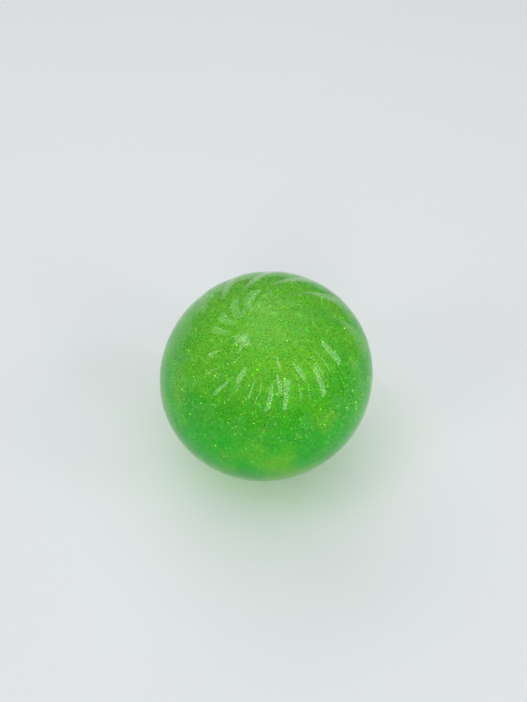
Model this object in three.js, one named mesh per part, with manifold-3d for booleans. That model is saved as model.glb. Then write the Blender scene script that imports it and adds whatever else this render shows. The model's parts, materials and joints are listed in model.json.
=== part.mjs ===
// A soft, gel-filled glitter squeeze ball, at rest on a flat surface.
// Millimetres, +Z up. The origin is the middle of the flat patch that the ball rests on.
//
// The skin is one hollow moulding with a pinwheel of pleats round its crown. The ball leans, so
// its moulding axis (crown to fill hole) is tilted, while the sag is upright: the gel and the
// inside of the skin are surfaces of revolution about Z, so the fill can turn in the skin.
import * as THREE from "three";
import { mergeVertices } from "three/addons/utils/BufferGeometryUtils.js";
import Module from "manifold-3d";

const wasm = await Module();
wasm.setup();

const rad = THREE.MathUtils.degToRad;
const { smoothstep } = THREE.MathUtils;

// ---- Driving dimensions ----
const BALL_WIDTH = 60.4; // widest, across the sagging ball
const CENTRE_HEIGHT = 27.4; // from the rest patch up to the widest level
const CROWN_RISE = 30.4; // from the widest level up to the top, before the crown is drawn in
const BASE_ROUND = 28.6; // from the widest level down to where an unflattened base would end
const SWAY = 0.045; // sideways lean of the sagging outside towards +X, per unit of height
const SKIN_WALL = 3.2;
const GEL_GAP = 0.3; // film between the gel and the inside of the skin

const LEAN_FORWARD = rad(18.5); // of the moulding axis, towards -Y
const LEAN_SIDE = rad(-8); // of the moulding axis, towards +X

const CROWN_DROP = 1.2; // of the whole crown, which the pleats draw in
const CROWN_EDGE = { from: rad(35), to: rad(85) }; // the drop fades over this angle from the crown

const PLEATS = 15;
const PLEAT_DEPTH = 0.8; // of a crease, below the crown's own surface
const PLEAT_TURN = 1.3; // round the axis at the crown, per unit of angle from it
const PLEAT_STRAIGHTENS = rad(50); // angle from the crown over which that turn dies away
const PLEAT_PHASE = rad(18); // of the first crease, from +X
const PLEAT_RIDGE_AT = 0.62; // where a pleat is highest, as a share of the way between creases
const PLEAT_START = { from: rad(5), to: rad(17) }; // pleats rise over this angle from the crown
const PLEAT_END = { from: rad(44), to: rad(74) }; // and fade over this one
const FACETS_PER_PLEAT = 6;

const OUTER_RINGS = 30; // facets from crown to base
const INNER_RINGS = 18;
const INNER_COLUMNS = 40; // facets round the gel and the hollow that it turns in

const HOLE_RADIUS = 3.5; // fill hole, on the moulding axis opposite the crown
const PLUG_GAP = 0.3; // round the plug in its hole
const PLUG_RECESS = 0.4; // of the plug's face, below the skin's

const FLAKE_ACROSS = 0.4; // across the corners of a hexagonal glitter flake
const FLAKE_THICK = 0.1;
const FLAKE_CLEARANCE = 0.3; // of a flake in its pocket in the gel
const FLAKES_PER_COLOUR = 8;
const FLAKE_BAND = { low: rad(-30), high: rad(62) }; // latitudes where flakes lie

// ---- Finishes ----
const FINISH = {
  skin: { color: 0x4fc22a, roughness: 0.22, metalness: 0, transparent: true, opacity: 0.55 },
  fill_plug: { color: 0x58bf3c, roughness: 0.4, metalness: 0 },
  gel_fill: { color: 0x3fae14, roughness: 0.12, metalness: 0 },
};
const GLITTER = {
  green: { color: 0x5fe03a, roughness: 0.25, metalness: 1 },
  gold: { color: 0xd6d03a, roughness: 0.25, metalness: 1 },
  teal: { color: 0x2fc8a0, roughness: 0.25, metalness: 1 },
  silver: { color: 0xe6f2e4, roughness: 0.2, metalness: 1 },
};

// ---- Frame of the moulding ----
const centre = new THREE.Vector3(0, 0, CENTRE_HEIGHT);
const lean = new THREE.Matrix4()
  .makeRotationX(LEAN_FORWARD)
  .premultiply(new THREE.Matrix4().makeRotationY(LEAN_SIDE));

// ---- Solids and booleans ----
function toSolid(geometry) {
  const bare = geometry.clone();
  bare.deleteAttribute("normal");
  bare.deleteAttribute("uv");
  const merged = mergeVertices(bare, 1e-4);
  return new wasm.Manifold(
    new wasm.Mesh({
      numProp: 3,
      vertProperties: merged.attributes.position.array,
      triVerts: new Uint32Array(merged.index.array),
    }),
  );
}

function toGeometry(solid) {
  const mesh = solid.getMesh();
  const geometry = new THREE.BufferGeometry();
  geometry.setAttribute("position", new THREE.BufferAttribute(mesh.vertProperties, 3));
  geometry.setIndex(new THREE.BufferAttribute(mesh.triVerts, 1));
  geometry.computeVertexNormals();
  return geometry;
}

// ---- The sagging ball ----
// Distance from the centre to a plain sagging surface that lies `inset` inside the ball's own.
function sagRadius(direction, inset) {
  const across = Math.hypot(direction.x, direction.y) / (BALL_WIDTH / 2 - inset);
  const up = direction.z / ((direction.z > 0 ? CROWN_RISE : BASE_ROUND) - inset);
  return 1 / Math.hypot(across, up);
}

// A ball with its pole on the Z axis. `shape` moves each unit vertex; it is flat at `floor`.
function saggingSolid(columns, rings, floor, shape) {
  const geometry = new THREE.SphereGeometry(1, columns, rings).rotateX(Math.PI / 2);
  const position = geometry.attributes.position;
  const point = new THREE.Vector3();
  for (let i = 0; i < position.count; i++) {
    shape(point.fromBufferAttribute(position, i));
    point.add(centre);
    position.setXYZ(i, point.x, point.y, point.z);
  }
  const size = 2 * BALL_WIDTH;
  const ground = new THREE.BoxGeometry(size, size, size).translate(0, 0, floor - size / 2);
  return toSolid(geometry).subtract(toSolid(ground));
}

// How far a pleat's surface lies below the ball, at an angle from the crown and a share (0 to 1)
// of the way from one crease to the next: a narrow crease, a round back, one side steeper.
function pleatDrop(fromCrown, share) {
  const strength =
    smoothstep(fromCrown, PLEAT_START.from, PLEAT_START.to) *
    (1 - smoothstep(fromCrown, PLEAT_END.from, PLEAT_END.to));
  const side =
    share < PLEAT_RIDGE_AT
      ? 1 - share / PLEAT_RIDGE_AT
      : (share - PLEAT_RIDGE_AT) / (1 - PLEAT_RIDGE_AT);
  return PLEAT_DEPTH * strength * side * side;
}

// How far the crown lies below a plain sagging ball.
function crownDrop(fromCrown) {
  return CROWN_DROP * (1 - smoothstep(fromCrown, CROWN_EDGE.from, CROWN_EDGE.to));
}

// The skin's outer shape. Its columns of vertices follow the pleats as they swirl.
function pleatedSolid(inset) {
  const columns = PLEATS * FACETS_PER_PLEAT;
  const axis = new THREE.Vector3(0, 0, 1);
  return saggingSolid(columns, OUTER_RINGS, inset, (point) => {
    const fromCrown = Math.acos(THREE.MathUtils.clamp(point.z, -1, 1));
    const column = Math.atan2(point.y, point.x) / (2 * Math.PI);
    const share = THREE.MathUtils.euclideanModulo(Math.round(column * columns), FACETS_PER_PLEAT);
    const turn = PLEAT_TURN * PLEAT_STRAIGHTENS * Math.tanh(fromCrown / PLEAT_STRAIGHTENS);
    point.applyAxisAngle(axis, PLEAT_PHASE - turn).applyMatrix4(lean);
    const drop = crownDrop(fromCrown) + pleatDrop(fromCrown, share / FACETS_PER_PLEAT);
    point.multiplyScalar(sagRadius(point, inset) - drop);
    point.x += SWAY * point.z;
  });
}

// A round, upright, sagging solid, such as the hollow in the skin and the gel in it.
function plainSolid(inset) {
  const shape = (point) => point.multiplyScalar(sagRadius(point, inset));
  return saggingSolid(INNER_COLUMNS, INNER_RINGS, inset, shape);
}

// A cylinder from the ball's centre out through the fill hole.
function holeSolid(radius) {
  const reach = BALL_WIDTH;
  const geometry = new THREE.CylinderGeometry(radius, radius, reach, 32)
    .rotateX(Math.PI / 2)
    .translate(0, 0, -reach / 2)
    .applyMatrix4(lean)
    .translate(centre.x, centre.y, centre.z);
  return toSolid(geometry);
}

const hollow = plainSolid(SKIN_WALL);

function skinGeometry() {
  return toGeometry(pleatedSolid(0).subtract(hollow).subtract(holeSolid(HOLE_RADIUS)));
}

function plugGeometry() {
  const wall = pleatedSolid(PLUG_RECESS).subtract(hollow);
  return toGeometry(wall.intersect(holeSolid(HOLE_RADIUS - PLUG_GAP)));
}

// ---- Glitter: flakes lying just under the gel's surface, each in an open pocket ----
const gelInset = SKIN_WALL + GEL_GAP;
const colours = Object.keys(GLITTER);
const flakes = Array.from({ length: colours.length * FLAKES_PER_COLOUR }, (_, turn) => ({
  turn,
  colour: colours[turn % colours.length],
  number: Math.floor(turn / colours.length) + 1,
}));

// Flakes are spread evenly over their band of the gel by the golden angle.
function flakePlacement(flake) {
  const golden = Math.PI * (3 - Math.sqrt(5));
  const share = (flake.turn + 0.5) / flakes.length;
  const low = Math.sin(FLAKE_BAND.low);
  const z = low + (Math.sin(FLAKE_BAND.high) - low) * share;
  const around = golden * flake.turn;
  const out = new THREE.Vector3(
    Math.sqrt(1 - z * z) * Math.cos(around),
    Math.sqrt(1 - z * z) * Math.sin(around),
    z,
  );
  const depth = FLAKE_CLEARANCE + FLAKE_THICK / 2;
  const at = out.clone().multiplyScalar(sagRadius(out, gelInset) - depth).add(centre);
  const turned = new THREE.Quaternion().setFromUnitVectors(new THREE.Vector3(0, 1, 0), out);
  return { at, turned };
}

const flakeGeometry = new THREE.CylinderGeometry(FLAKE_ACROSS / 2, FLAKE_ACROSS / 2, FLAKE_THICK, 6);

function pocketSolid(flake) {
  const { at, turned } = flakePlacement(flake);
  const radius = FLAKE_ACROSS / 2 + FLAKE_CLEARANCE;
  const floor = FLAKE_THICK / 2 + FLAKE_CLEARANCE;
  const height = 4 * floor;
  const geometry = new THREE.CylinderGeometry(radius, radius, height, 6)
    .translate(0, height / 2 - floor, 0)
    .applyQuaternion(turned)
    .translate(at.x, at.y, at.z);
  return toSolid(geometry);
}

function gelGeometry() {
  const gel = flakes.reduce((solid, flake) => solid.subtract(pocketSolid(flake)), plainSolid(gelInset));
  return toGeometry(gel);
}

// ---- The assembly ----
function namedMesh(name, geometry, finish) {
  const mesh = new THREE.Mesh(geometry, new THREE.MeshStandardMaterial(finish));
  mesh.name = name;
  return mesh;
}

const ball = new THREE.Group();
const casing = new THREE.Group();
const fill = new THREE.Group();
ball.add(casing, fill);

casing.add(namedMesh("skin", skinGeometry(), FINISH.skin));
casing.add(namedMesh("fill_plug", plugGeometry(), FINISH.fill_plug));

fill.add(namedMesh("gel_fill", gelGeometry(), FINISH.gel_fill));
for (const flake of flakes) {
  const name = `glitter_${flake.colour}_${String(flake.number).padStart(2, "0")}`;
  const mesh = namedMesh(name, flakeGeometry, GLITTER[flake.colour]);
  const { at, turned } = flakePlacement(flake);
  mesh.position.copy(at);
  mesh.quaternion.copy(turned);
  fill.add(mesh);
}

export default ball;
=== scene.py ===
"""A soft, gel-filled glitter squeeze ball with a swirl of pleats round its crown, on a pale floor.

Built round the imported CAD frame, in metres. The skin, its plug, the gel and the glitter are fine
meshes that stand for the plain CAD solids and ride on the same two bodies.
"""

import json
import math
import bpy
import numpy as np
from mathutils import Matrix, Vector


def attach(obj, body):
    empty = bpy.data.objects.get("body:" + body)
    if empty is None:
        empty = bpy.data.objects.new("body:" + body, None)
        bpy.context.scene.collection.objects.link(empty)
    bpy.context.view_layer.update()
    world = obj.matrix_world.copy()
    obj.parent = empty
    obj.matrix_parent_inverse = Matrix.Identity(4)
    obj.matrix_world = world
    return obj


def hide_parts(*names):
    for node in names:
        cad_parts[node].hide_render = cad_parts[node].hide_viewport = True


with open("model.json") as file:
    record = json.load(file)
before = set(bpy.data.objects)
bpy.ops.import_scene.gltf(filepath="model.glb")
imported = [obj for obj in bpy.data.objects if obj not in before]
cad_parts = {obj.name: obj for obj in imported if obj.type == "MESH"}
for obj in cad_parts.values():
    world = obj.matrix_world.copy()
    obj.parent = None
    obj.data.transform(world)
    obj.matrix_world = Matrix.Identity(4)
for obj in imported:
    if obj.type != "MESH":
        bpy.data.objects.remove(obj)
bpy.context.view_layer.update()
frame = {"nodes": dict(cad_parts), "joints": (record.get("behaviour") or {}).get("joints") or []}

MM = 0.001

# ---- Sizes, in metres, that go with the CAD model ----
HALF_WIDTH = 30.2 * MM
CENTRE = np.array(frame["joints"][0]["pos_m"], float)
CROWN_RISE = 30.4 * MM
BASE_ROUND = 28.6 * MM
SWAY = 0.045  # sideways shift for each unit of height, of the soft skin
SKIN_WALL = 3.2 * MM
GEL_INSET = 3.5 * MM
HOLE_RADIUS = 3.5 * MM
PLUG_GAP = 0.3 * MM
PLUG_RECESS = 0.4 * MM

# ---- The swirl of pleats ----
LEAN_FORWARD = math.radians(18.5)
LEAN_SIDE = math.radians(-8)
CROWN_DROP = 1.2 * MM
CROWN_EDGE = (math.radians(35), math.radians(85))
PLEATS = 15
PLEAT_DEPTH = 0.5 * MM
PLEAT_TURN = 1.3  # how much a pleat turns for each radian down from the crown
PLEAT_STRAIGHTENS = math.radians(50)
PLEAT_PHASE = math.radians(18)
PLEAT_RIDGE_AT = 0.6  # of the way from one crease to the next
PLEAT_HOLLOW = 1.25  # 1 gives a pleat flat sides, more makes them hollow
PLEAT_START = (math.radians(7), math.radians(21))
PLEAT_END = (math.radians(44), math.radians(74))
PLEAT_UNEVENNESS = np.random.default_rng(5).uniform(0.7, 1.2, PLEATS)  # of the pleats' depths

BASE_SOFTNESS = 0.5 * MM  # rounding where the underside meets the rest patch
POLE = 0.004  # radians, the size of the small cap that closes a round body


def smoothstep(x, edges):
    t = np.clip((x - edges[0]) / (edges[1] - edges[0]), 0, 1)
    return t * t * (3 - 2 * t)


def lean_matrix():
    lean = Matrix.Rotation(LEAN_SIDE, 3, "Y") @ Matrix.Rotation(LEAN_FORWARD, 3, "X")
    return np.array(lean)


LEAN = lean_matrix()


def directions(from_crown, around):
    """Unit vectors at angles from the moulding axis and round it."""
    straight = np.stack(
        [
            np.sin(from_crown) * np.cos(around),
            np.sin(from_crown) * np.sin(around),
            np.cos(from_crown),
        ],
        axis=-1,
    )
    return straight @ LEAN.T


def sag_radius(d, inset):
    """Distance from the centre, along d, to the plain sagging surface `inset` inside the ball's."""
    across = np.hypot(d[..., 0], d[..., 1]) / (HALF_WIDTH - inset)
    rise = np.where(d[..., 2] > 0, CROWN_RISE, BASE_ROUND) - inset
    return 1 / np.hypot(across, d[..., 2] / rise)


def flatten_base(z, floor, softness):
    """Presses heights below `floor` up to it, with a rounded edge."""
    above = z - floor
    return floor + (above + np.sqrt(above * above + softness * softness)) / 2


def pleat_drop(from_crown, share):
    """How far a pleat lies below its ridge, `share` of the way from one crease to the next."""
    strength = smoothstep(from_crown, PLEAT_START) * (1 - smoothstep(from_crown, PLEAT_END))
    rising = 1 - share / PLEAT_RIDGE_AT
    falling = (share - PLEAT_RIDGE_AT) / (1 - PLEAT_RIDGE_AT)
    side = np.where(share < PLEAT_RIDGE_AT, rising, falling)
    return PLEAT_DEPTH * strength * side**PLEAT_HOLLOW


def outer_points(from_crown, column, inset=0.0):
    """The skin's outside. `column` runs from 0 to PLEATS round the crown and follows the pleats."""
    turn = PLEAT_TURN * PLEAT_STRAIGHTENS * np.tanh(from_crown / PLEAT_STRAIGHTENS)
    around = 2 * np.pi * column / PLEATS + PLEAT_PHASE - turn
    d = directions(from_crown, around)
    crown = CROWN_DROP * (1 - smoothstep(from_crown, CROWN_EDGE))
    uneven = np.interp(column, np.arange(PLEATS), PLEAT_UNEVENNESS, period=PLEATS)
    drop = crown + uneven * pleat_drop(from_crown, column % 1.0)
    p = d * (sag_radius(d, inset) - drop)[..., None]
    p[..., 0] += SWAY * p[..., 2]
    p += CENTRE
    p[..., 2] = flatten_base(p[..., 2], inset, BASE_SOFTNESS)
    return p


def plain_points(from_crown, around, inset):
    """An upright, round, sagging surface, such as the inside of the skin or the gel."""
    d = directions(from_crown, around)
    p = d * sag_radius(d, inset)[..., None] + CENTRE
    p[..., 2] = flatten_base(p[..., 2], inset, BASE_SOFTNESS)
    return p


def closed_faces(rings, columns):
    """Quads between rings of points, then a cap on the first ring and one on the last."""
    r, c = np.meshgrid(np.arange(rings - 1), np.arange(columns), indexing="ij")
    nxt = (c + 1) % columns
    corners = [r * columns + c, (r + 1) * columns + c, (r + 1) * columns + nxt, r * columns + nxt]
    faces = np.stack(corners, axis=-1).reshape(-1, 4).tolist()
    last = (rings - 1) * columns
    faces.append(list(range(columns)))
    faces.append(list(range(last + columns - 1, last - 1, -1)))
    return faces


def make_mesh(name, points, faces, smooth=True):
    mesh = bpy.data.meshes.new(name)
    mesh.from_pydata(np.asarray(points, float).reshape(-1, 3).tolist(), [], faces)
    mesh.validate()
    if smooth:
        mesh.shade_smooth()
    else:
        mesh.shade_flat()
    piece = bpy.data.objects.new(name, mesh)
    bpy.context.scene.collection.objects.link(piece)
    return piece


# ---- Skin ----
OUTER_COLUMNS = PLEATS * 20
OUTER_RINGS = 220
INNER_RINGS = 40
INSIDE_SLOT = 1  # of the skin's two materials
PLUG_COLUMNS = 96
PLUG_RINGS = 14  # on its face, and again on its back
PLUG_POLE = 0.002


def hole_angle(radius, inset):
    """Angle from the moulding axis at which a surface meets a cylinder of that radius round it."""
    reach = float(sag_radius(directions(np.array(np.pi), np.array(0.0)), inset))
    return math.pi - math.asin(radius / reach)


def build_skin():
    """One closed shell: down the outside from the crown, through the fill hole and up inside."""
    c = np.arange(OUTER_COLUMNS)
    edge_out = hole_angle(HOLE_RADIUS, 0)
    edge_in = hole_angle(HOLE_RADIUS, SKIN_WALL)
    down = np.linspace(POLE, edge_out, OUTER_RINGS)
    t, col = np.meshgrid(down, c * PLEATS / OUTER_COLUMNS, indexing="ij")
    outside = outer_points(t, col)
    up = np.linspace(edge_in, POLE, INNER_RINGS)
    t, col = np.meshgrid(up, c, indexing="ij")
    turn = PLEAT_TURN * PLEAT_STRAIGHTENS * math.tanh(edge_out / PLEAT_STRAIGHTENS)
    around = 2 * np.pi * col / OUTER_COLUMNS + PLEAT_PHASE - turn
    inside = plain_points(t, around, SKIN_WALL)
    points = np.concatenate([outside.reshape(-1, 3), inside.reshape(-1, 3)])
    rings = OUTER_RINGS + INNER_RINGS
    faces = closed_faces(rings, OUTER_COLUMNS)
    piece = make_mesh("skin_shell", points, faces)
    slots = np.zeros(len(faces), int)
    slots[OUTER_RINGS * OUTER_COLUMNS : (rings - 1) * OUTER_COLUMNS] = INSIDE_SLOT
    slots[-1] = INSIDE_SLOT
    piece.data.polygons.foreach_set("material_index", slots)
    return piece


def build_plug():
    """The stopper: a disc across the hole, with its face a little below the skin's."""
    radius = HOLE_RADIUS - PLUG_GAP
    turns = 2 * np.pi * np.arange(PLUG_COLUMNS) / PLUG_COLUMNS
    outer = np.linspace(math.pi - PLUG_POLE, hole_angle(radius, PLUG_RECESS), PLUG_RINGS)
    inner = np.linspace(hole_angle(radius, SKIN_WALL), math.pi - PLUG_POLE, PLUG_RINGS)
    turn = PLEAT_TURN * PLEAT_STRAIGHTENS
    t, a = np.meshgrid(outer, turns, indexing="ij")
    face = outer_points(t, (a - PLEAT_PHASE + turn) * PLEATS / (2 * np.pi), PLUG_RECESS)
    t, a = np.meshgrid(inner, turns, indexing="ij")
    back = plain_points(t, a, SKIN_WALL)
    points = np.concatenate([face.reshape(-1, 3), back.reshape(-1, 3)])
    return make_mesh("plug", points, closed_faces(2 * PLUG_RINGS, PLUG_COLUMNS))


def build_round(name, inset, columns=192, rings=120):
    """A closed, upright, sagging round body."""
    t, a = np.meshgrid(
        np.linspace(POLE, math.pi - POLE, rings),
        2 * np.pi * np.arange(columns) / columns,
        indexing="ij",
    )
    return make_mesh(name, plain_points(t, a, inset), closed_faces(rings, columns))


# ---- Glitter ----
FLAKE_ACROSS = 0.285 * MM
FLAKE_THICK = 0.02 * MM
FLAKE_DEEPEST = 3.6 * MM  # below the gel's surface
FLAKE_SHALLOWEST = 0.15 * MM
CORE_INSET = GEL_INSET + 3.8 * MM
CLOUDS = 60  # thick patches of glitter
CLOUD_SPREAD = 0.22  # radians, of a patch seen from the middle
FLAKES_OF_A_COLOUR = 9900
FLAKE_DEPTH_BIAS = 1.6  # 1 spreads flakes evenly in depth, more brings them to the surface
FLAKE_TILT = 0.7  # 0 lays flakes flat along the wall
FLAKE_SIZES = (0.7, 1.15)  # of FLAKE_ACROSS
LOW_SHARE = 0.06  # of the flakes that would be there, kept below LOW_ZONE
LOW_ZONE = (-0.3, 0.4)  # rise of a direction, over which the rest come in
DRAWS = 3  # directions drawn for each one kept


def random_directions(rng, count):
    d = rng.normal(size=(count, 3))
    return d / np.linalg.norm(d, axis=1)[:, None]


def cloudy_directions(rng, cloud_share):
    """Directions of flakes: some spread evenly, some gathered in patches, fewer low down."""
    draws = DRAWS * FLAKES_OF_A_COLOUR
    d = random_directions(rng, draws)
    patch = random_directions(rng, CLOUDS)[rng.integers(0, CLOUDS, draws)]
    gathered = patch + CLOUD_SPREAD * rng.normal(size=d.shape)
    in_cloud = rng.random(draws) < cloud_share
    d[in_cloud] = gathered[in_cloud] / np.linalg.norm(gathered[in_cloud], axis=1)[:, None]
    kept = rng.random(draws) < LOW_SHARE + (1 - LOW_SHARE) * smoothstep(d[:, 2], LOW_ZONE)
    return d[kept][:FLAKES_OF_A_COLOUR]


def flake_places(rng, cloud_share):
    d = cloudy_directions(rng, cloud_share)
    share = rng.random(len(d)) ** FLAKE_DEPTH_BIAS
    depth = FLAKE_SHALLOWEST + (FLAKE_DEEPEST - FLAKE_SHALLOWEST) * share
    at = d * (sag_radius(d, GEL_INSET) - depth)[:, None] + CENTRE
    at[:, 2] = flatten_base(at[:, 2], GEL_INSET + depth, BASE_SOFTNESS)
    return d, at


def flake_mesh(rng, outward, at):
    """Thin hexagonal plates. They tend to lie along the wall."""
    count = len(at)
    normal = outward + FLAKE_TILT * rng.normal(size=(count, 3))
    normal /= np.linalg.norm(normal, axis=1)[:, None]
    side = np.cross(normal, rng.normal(size=(count, 3)))
    side /= np.linalg.norm(side, axis=1)[:, None]
    other = np.cross(normal, side)
    size = FLAKE_ACROSS / 2 * rng.uniform(*FLAKE_SIZES, count)
    corner = (np.pi / 3 * np.arange(6))[None, :, None]
    rim = side[:, None] * np.cos(corner) + other[:, None] * np.sin(corner)
    middle = at[:, None] + rim * size[:, None, None]
    half = normal[:, None] * (FLAKE_THICK / 2)
    points = np.concatenate([middle + half, middle - half], axis=1)
    one = [[0, 1, 2, 3, 4, 5], [11, 10, 9, 8, 7, 6]]
    one += [[i, i + 6, (i + 1) % 6 + 6, (i + 1) % 6] for i in range(6)]
    faces = [[v + 12 * k for v in f] for k in range(count) for f in one]
    return points, faces


def build_flakes(name, seed, cloud_share):
    rng = np.random.default_rng(seed)
    outward, at = flake_places(rng, cloud_share)
    points, faces = flake_mesh(rng, outward, at)
    return make_mesh(name, points, faces, smooth=False)


# ---- Materials ----
SHEEN_FROM = 26 * MM  # heights between which the gel is painted paler: a painted sheen of the overhead light
SHEEN_TO = 52 * MM
SHEEN_MOST = 0.7


def node_material(name):
    material = bpy.data.materials.new(name)
    material.use_nodes = True
    nodes = material.node_tree.nodes
    return material, nodes, material.node_tree.links, nodes["Principled BSDF"]


def add_noise(nodes, links, scale, detail=3.0):
    coords = nodes.new("ShaderNodeTexCoord")
    noise = nodes.new("ShaderNodeTexNoise")
    noise.inputs["Scale"].default_value = scale
    noise.inputs["Detail"].default_value = detail
    links.new(coords.outputs["Object"], noise.inputs["Vector"])
    return noise


def colour_by_noise(nodes, links, shader, scale, dark, light):
    noise = add_noise(nodes, links, scale)
    ramp = nodes.new("ShaderNodeValToRGB")
    ramp.color_ramp.elements[0].color = dark
    ramp.color_ramp.elements[1].color = light
    links.new(noise.outputs["Fac"], ramp.inputs["Fac"])
    links.new(ramp.outputs["Color"], shader.inputs["Base Color"])


def let_light_through(material, tint):
    """Lets lamps light what lies inside or beyond, in place of slow caustics."""
    nodes, links = material.node_tree.nodes, material.node_tree.links
    surface = nodes["Material Output"].inputs["Surface"]
    path = nodes.new("ShaderNodeLightPath")
    clear = nodes.new("ShaderNodeBsdfTransparent")
    clear.inputs["Color"].default_value = tint
    mix = nodes.new("ShaderNodeMixShader")
    links.new(path.outputs["Is Shadow Ray"], mix.inputs["Fac"])
    links.new(surface.links[0].from_socket, mix.inputs[1])
    links.new(clear.outputs["BSDF"], mix.inputs[2])
    links.new(mix.outputs["Shader"], surface)


def skin_material():
    material, nodes, links, shader = node_material("clear_green_tpr")
    shader.inputs["Base Color"].default_value = (0.66, 1.0, 0.32, 1)
    shader.inputs["Roughness"].default_value = 0.07
    shader.inputs["IOR"].default_value = 1.42
    shader.inputs["Specular IOR Level"].default_value = 0.45
    shader.inputs["Specular Tint"].default_value = (0.85, 1.0, 0.82, 1)
    shader.inputs["Transmission Weight"].default_value = 1.0
    noise = add_noise(nodes, links, 700)
    bump = nodes.new("ShaderNodeBump")
    bump.inputs["Strength"].default_value = 0.14
    bump.inputs["Distance"].default_value = 0.0001
    links.new(noise.outputs["Fac"], bump.inputs["Height"])
    links.new(bump.outputs["Normal"], shader.inputs["Normal"])
    shader.inputs["Coat Weight"].default_value = 0.06
    shader.inputs["Coat Roughness"].default_value = 0.45
    let_light_through(material, (0.68, 0.92, 0.5, 1))
    return material


def clear_material(name, tint):
    """An inner face between two clear, equally dense materials: it only tints."""
    material = bpy.data.materials.new(name)
    material.use_nodes = True
    nodes, links = material.node_tree.nodes, material.node_tree.links
    nodes.remove(nodes["Principled BSDF"])
    clear = nodes.new("ShaderNodeBsdfTransparent")
    clear.inputs["Color"].default_value = tint
    links.new(clear.outputs["BSDF"], nodes["Material Output"].inputs["Surface"])
    return material


def core_colour(nodes, links):
    """Cloudy green, painted paler towards the top as a painted sheen of the overhead light."""
    noise = add_noise(nodes, links, 70, 5.0)
    clouds = nodes.new("ShaderNodeValToRGB")
    stops = clouds.color_ramp.elements
    stops[0].position = 0.36
    stops[0].color = (0.002, 0.44, 0.006, 1)
    stops[1].position = 0.62
    stops[1].color = (0.21, 0.56, 0.001, 1)
    stops.new(0.48).color = (0.006, 0.485, 0.001, 1)
    links.new(noise.outputs["Fac"], clouds.inputs["Fac"])
    coords = nodes.new("ShaderNodeTexCoord")
    place = nodes.new("ShaderNodeSeparateXYZ")
    links.new(coords.outputs["Object"], place.inputs["Vector"])
    height = nodes.new("ShaderNodeMapRange")
    height.interpolation_type = "SMOOTHSTEP"
    height.inputs["From Min"].default_value = SHEEN_FROM
    height.inputs["From Max"].default_value = SHEEN_TO
    height.inputs["To Max"].default_value = SHEEN_MOST
    links.new(place.outputs["Z"], height.inputs["Value"])
    # Painted sheen: towards the top the gel is mixed to a pale green that stands for the haze of
    # the overhead light.
    pale = nodes.new("ShaderNodeMixRGB")
    pale.inputs["Color2"].default_value = (0.42, 0.57, 0.24, 1)
    links.new(height.outputs["Result"], pale.inputs["Fac"])
    links.new(clouds.outputs["Color"], pale.inputs["Color1"])
    return pale.outputs["Color"]


def core_material():
    material, nodes, links, shader = node_material("milky_green_gel")
    links.new(core_colour(nodes, links), shader.inputs["Base Color"])
    shader.inputs["Subsurface Weight"].default_value = 0.5
    shader.inputs["Subsurface Radius"].default_value = (0.25, 1.0, 0.15)
    shader.inputs["Subsurface Scale"].default_value = 0.003
    shader.inputs["Roughness"].default_value = 0.6
    shader.inputs["Specular IOR Level"].default_value = 0.0
    let_light_through(material, (0.03, 0.36, 0.02, 1))
    return material


def flake_material(name, dark, light):
    material, nodes, links, shader = node_material(name)
    geometry = nodes.new("ShaderNodeNewGeometry")
    ramp = nodes.new("ShaderNodeValToRGB")
    ramp.color_ramp.elements[0].color = dark
    ramp.color_ramp.elements[0].position = 0.2
    ramp.color_ramp.elements[1].color = light
    links.new(geometry.outputs["Random Per Island"], ramp.inputs["Fac"])
    links.new(ramp.outputs["Color"], shader.inputs["Base Color"])
    shader.inputs["Metallic"].default_value = 0.7
    shader.inputs["Roughness"].default_value = 0.2
    return material


def plug_material():
    material, nodes, links, shader = node_material("plug_tpr")
    colour_by_noise(nodes, links, shader, 400, (0.10, 0.42, 0.06, 1), (0.18, 0.55, 0.10, 1))
    shader.inputs["Roughness"].default_value = 0.4
    return material


# ---- The assembly ----
skin = build_skin()
skin.data.materials.append(skin_material())
skin.data.materials.append(clear_material("skin_inside", (1.0, 1.0, 1.0, 1)))
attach(skin, "casing")
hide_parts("skin")

plug = build_plug()
plug.data.materials.append(plug_material())
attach(plug, "casing")
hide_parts("fill_plug")

gel = build_round("gel_surface", GEL_INSET)
gel.data.materials.append(clear_material("clear_gel", (0.92, 1.0, 0.75, 1)))
core = build_round("gel_core", CORE_INSET)
core.data.materials.append(core_material())
for piece in (gel, core):
    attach(piece, "fill")
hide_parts("gel_fill")

# Colour: the share of its flakes in patches, and the two ends of their tint.
GLITTER = {
    "green": (0.2, (0.02, 0.65, 0.01, 1), (0.60, 1.0, 0.25, 1)),
    "gold": (0.7, (0.36, 0.68, 0.02, 1), (0.85, 1.0, 0.30, 1)),
    "teal": (0.7, (0.00, 0.58, 0.18, 1), (0.35, 1.0, 1.0, 1)),
    "silver": (0.5, (0.30, 0.74, 0.20, 1), (1.0, 1.0, 1.0, 1)),
}
FIRST_SEED = 11
for seed, (colour, (share, dark, light)) in enumerate(GLITTER.items(), start=FIRST_SEED):
    flakes = build_flakes(f"glitter_{colour}", seed, share)
    flakes.data.materials.append(flake_material(f"foil_{colour}", dark, light))
    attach(flakes, "fill")
    stood_for = [n for n in frame["nodes"] if n.startswith(f"glitter_{colour}_")]
    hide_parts(*stood_for)

# ---- Floor, light and camera ----
FLOOR_SIZE = 6.0


def build_floor():
    half = FLOOR_SIZE / 2
    points = [(-half, -half, 0), (half, -half, 0), (half, half, 0), (-half, half, 0)]
    floor = make_mesh("floor", points, [[0, 1, 2, 3]], smooth=False)
    material, nodes, links, shader = node_material("pale_floor")
    colour_by_noise(nodes, links, shader, 3, (0.80, 0.82, 0.84, 1), (0.82, 0.84, 0.86, 1))
    shader.inputs["Roughness"].default_value = 0.6
    shader.inputs["Specular IOR Level"].default_value = 0.28
    floor.data.materials.append(material)


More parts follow.
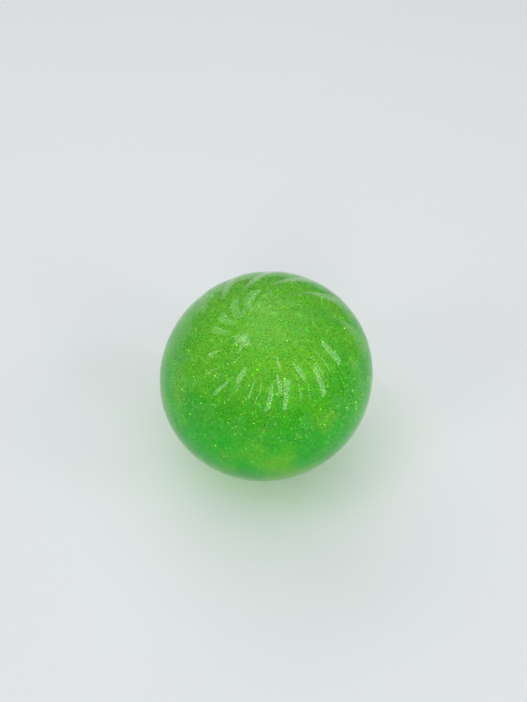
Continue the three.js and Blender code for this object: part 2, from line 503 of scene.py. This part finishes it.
def add_softbox(name, place, size, power):
    light = bpy.data.lights.new(name, "AREA")
    light.shape = "RECTANGLE"
    light.size, light.size_y = size
    light.energy = power
    lamp = bpy.data.objects.new(name, light)
    lamp.location = place
    lamp.rotation_euler = (Vector(CENTRE) - place).to_track_quat("-Z", "Y").to_euler()
    bpy.context.scene.collection.objects.link(lamp)


# Windows of the light tent: azimuth and elevation in degrees, width and height for each metre
# of distance, and brightness. Their long sides rise.
WINDOWS = {
    "left": (-176, 61, 0.24, 0.32, 3.3),
    "overhead": (55, 78, 1.20, 1.20, 0.67),
    "front": (-97, 29, 0.29, 0.44, 3.5),
    "front_right": (-40, 26, 0.24, 0.42, 3.5),
    "right": (-8, 30, 0.21, 0.42, 3.3),
    "front_left": (-152, 23, 0.24, 0.38, 3.4),
    "back": (115, 42, 1.00, 0.30, 1.3),
}
WINDOW_DISTANCE = 2.8
WINDOW_RADIANCE = 1.26
WORLD_STRENGTH = 0.26


def build_lights():
    for name, (azimuth, elevation, width, height, share) in WINDOWS.items():
        a, e = math.radians(azimuth), math.radians(elevation)
        out = Vector((math.cos(a) * math.cos(e), math.sin(a) * math.cos(e), math.sin(e)))
        size = width * WINDOW_DISTANCE, height * WINDOW_DISTANCE
        power = math.pi * size[0] * size[1] * WINDOW_RADIANCE * share
        add_softbox(name, out * WINDOW_DISTANCE, size, power)


def build_world():
    world = bpy.data.worlds.new("studio")
    world.use_nodes = True
    background = world.node_tree.nodes["Background"]
    background.inputs["Color"].default_value = (0.95, 0.97, 1.0, 1)
    background.inputs["Strength"].default_value = WORLD_STRENGTH
    bpy.context.scene.world = world


CAMERA_ELEVATION = math.radians(50)
CAMERA_DISTANCE = 150 * MM
CAMERA_LENS = 26.6
AIM_ABOVE = 0.046  # of the distance, so the ball sits a little below the middle of the frame
AIM_LEFT = 0.0035


def build_camera():
    back = Vector((0, -math.cos(CAMERA_ELEVATION), math.sin(CAMERA_ELEVATION)))
    up = Vector((0, math.sin(CAMERA_ELEVATION), math.cos(CAMERA_ELEVATION)))
    centre = Vector(CENTRE)
    place = centre + back * CAMERA_DISTANCE
    aim = centre + (up * AIM_ABOVE - Vector((AIM_LEFT, 0, 0))) * CAMERA_DISTANCE
    data = bpy.data.cameras.new("camera")
    data.lens = CAMERA_LENS
    data.sensor_width = 36
    data.clip_start = 0.005
    camera = bpy.data.objects.new("camera", data)
    camera.location = place
    camera.rotation_euler = (aim - place).to_track_quat("-Z", "Y").to_euler()
    bpy.context.scene.collection.objects.link(camera)
    bpy.context.scene.camera = camera


build_floor()
build_world()
build_lights()
build_camera()
bpy.context.scene.view_settings.view_transform = "Standard"
